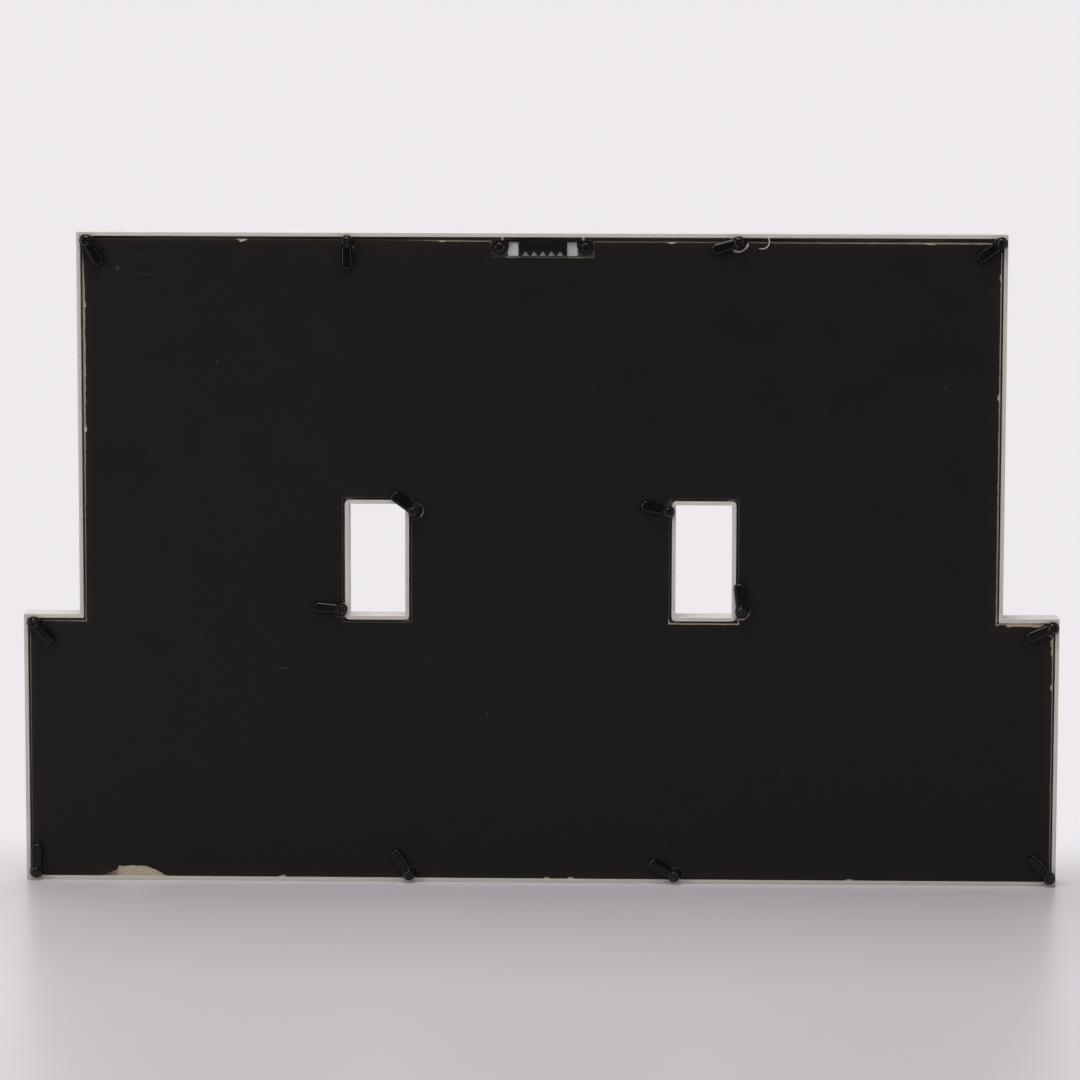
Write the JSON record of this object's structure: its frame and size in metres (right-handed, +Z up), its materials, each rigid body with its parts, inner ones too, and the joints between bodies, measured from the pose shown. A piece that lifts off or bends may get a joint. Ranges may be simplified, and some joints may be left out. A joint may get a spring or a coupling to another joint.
{
  "type": "collage photo frame",
  "caption": "Stepped collage frame for prints in one moulding round two openings, with panes, a backing board held by turn buttons, and a sawtooth hanger.",
  "frame": {"origin": "middle of the bottom edge that the frame stands on, halfway through the moulding's depth", "axes": "+X to the right as the front is seen, -Y the way the front faces, +Z up"},
  "size_m": [0.4664, 0.0202, 0.294],
  "materials": {
    "white_plastic": "satin moulded plastic, warm white",
    "black_board": "hardboard with a matt black paper face and raw brown edges",
    "clear_glass": "clear float glass",
    "insert_paper": "smooth paper with a plain printed margin",
    "black_plastic": "semi-gloss moulded plastic",
    "black_steel": "black enamelled pressed steel",
    "black_screws": "black zinc plated steel"
  },
  "bodies": {
    "frame": {"backing_board": "black_board", "front_frame": "white_plastic", "hanger_screws": "black_screws", "pane_lower_left": "clear_glass", "pane_lower_middle": "clear_glass", "pane_lower_right": "clear_glass", "pane_upper_left": "clear_glass", "pane_upper_middle": "clear_glass", "pane_upper_right": "clear_glass", "photo_insert_lower_left": "insert_paper", "photo_insert_lower_middle": "insert_paper", "photo_insert_lower_right": "insert_paper", "photo_insert_upper_left": "insert_paper", "photo_insert_upper_middle": "insert_paper", "photo_insert_upper_right": "insert_paper", "sawtooth_hanger": "black_steel", "turn_button_screws": "black_screws"},
    "button_1": {"turn_button_1": "black_plastic"},
    "button_2": {"turn_button_2": "black_plastic"},
    "button_3": {"turn_button_3": "black_plastic"},
    "button_4": {"turn_button_4": "black_plastic"},
    "button_5": {"turn_button_5": "black_plastic"},
    "button_6": {"turn_button_6": "black_plastic"},
    "button_7": {"turn_button_7": "black_plastic"},
    "button_8": {"turn_button_8": "black_plastic"},
    "button_9": {"turn_button_9": "black_plastic"},
    "button_10": {"turn_button_10": "black_plastic"},
    "button_11": {"turn_button_11": "black_plastic"},
    "button_12": {"turn_button_12": "black_plastic"},
    "button_13": {"turn_button_13": "black_plastic"},
    "button_14": {"turn_button_14": "black_plastic"}
  },
  "joints": [
    {"name": "turn_button_1_turn", "type": "hinge", "parent": "frame", "child": "button_1", "pos_m": [0.2033, 0.0081, 0.2902], "axis": [0, 1, 0], "continuous": true},
    {"name": "turn_button_2_turn", "type": "hinge", "parent": "frame", "child": "button_2", "pos_m": [0.0867, 0.0081, 0.2902], "axis": [0, 1, 0], "continuous": true},
    {"name": "turn_button_3_turn", "type": "hinge", "parent": "frame", "child": "button_3", "pos_m": [-0.0881, 0.0081, 0.2902], "axis": [0, 1, 0], "continuous": true},
    {"name": "turn_button_4_turn", "type": "hinge", "parent": "frame", "child": "button_4", "pos_m": [-0.2047, 0.0081, 0.2902], "axis": [0, 1, 0], "continuous": true},
    {"name": "turn_button_5_turn", "type": "hinge", "parent": "frame", "child": "button_5", "pos_m": [0.0566, 0.0081, 0.1694], "axis": [0, 1, 0], "continuous": true},
    {"name": "turn_button_6_turn", "type": "hinge", "parent": "frame", "child": "button_6", "pos_m": [0.0896, 0.0081, 0.1246], "axis": [0, 1, 0], "continuous": true},
    {"name": "turn_button_7_turn", "type": "hinge", "parent": "frame", "child": "button_7", "pos_m": [-0.0574, 0.0081, 0.1694], "axis": [0, 1, 0], "continuous": true},
    {"name": "turn_button_8_turn", "type": "hinge", "parent": "frame", "child": "button_8", "pos_m": [-0.0904, 0.0081, 0.1246], "axis": [0, 1, 0], "continuous": true},
    {"name": "turn_button_9_turn", "type": "hinge", "parent": "frame", "child": "button_9", "pos_m": [0.2287, 0.0081, 0.1178], "axis": [0, 1, 0], "continuous": true},
    {"name": "turn_button_10_turn", "type": "hinge", "parent": "frame", "child": "button_10", "pos_m": [-0.2301, 0.0081, 0.1178], "axis": [0, 1, 0], "continuous": true},
    {"name": "turn_button_11_turn", "type": "hinge", "parent": "frame", "child": "button_11", "pos_m": [0.2287, 0.0081, 0.0038], "axis": [0, 1, 0], "continuous": true},
    {"name": "turn_button_12_turn", "type": "hinge", "parent": "frame", "child": "button_12", "pos_m": [0.0593, 0.0081, 0.0038], "axis": [0, 1, 0], "continuous": true},
    {"name": "turn_button_13_turn", "type": "hinge", "parent": "frame", "child": "button_13", "pos_m": [-0.0607, 0.0081, 0.0038], "axis": [0, 1, 0], "continuous": true},
    {"name": "turn_button_14_turn", "type": "hinge", "parent": "frame", "child": "button_14", "pos_m": [-0.2301, 0.0081, 0.0038], "axis": [0, 1, 0], "continuous": true}
  ]
}
